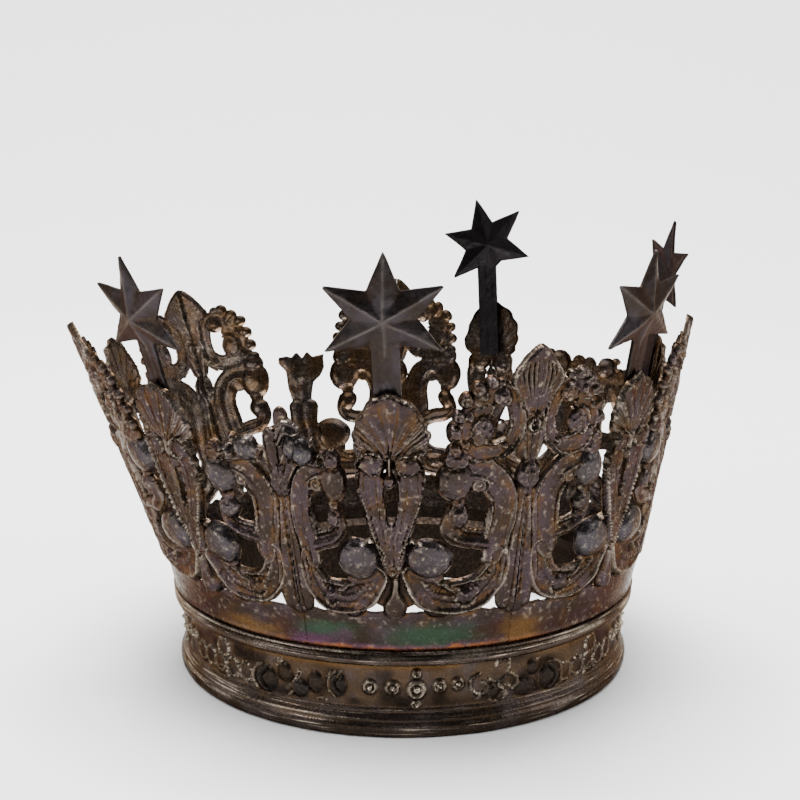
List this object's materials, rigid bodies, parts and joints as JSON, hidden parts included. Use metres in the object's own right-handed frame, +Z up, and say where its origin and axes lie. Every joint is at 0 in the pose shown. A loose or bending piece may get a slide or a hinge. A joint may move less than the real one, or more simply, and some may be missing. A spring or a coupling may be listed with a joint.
{
  "type": "marian crown",
  "caption": "Openwork silver crown for a devotional statue: a moulded band, pierced scrollwork, pointed crests and stars on stems, partly broken.",
  "frame": {"origin": "middle of the whole crown seen from above, at the band's flat underside", "axes": "+Z up through the crown, -Y the front as pictured, +X to the right seen from the front"},
  "size_m": [0.1972, 0.1982, 0.1455],
  "materials": {
    "band": "dark tarnished silver, worn brighter on the mouldings",
    "gallery": "tarnished chased silver, brown in the recesses and bright on the rims",
    "star": "dark grey tarnished silver"
  },
  "bodies": {
    "root": {"base_band": "band", "segment_front": "gallery", "segment_right": "gallery", "segment_back_right": "gallery", "segment_back": "gallery", "segment_back_left": "gallery", "segment_left": "gallery", "segment_front_left": "gallery", "star_front": "star", "star_right": "star", "star_back_right": "star", "star_back": "star", "star_front_left": "star"}
  },
  "joints": []
}
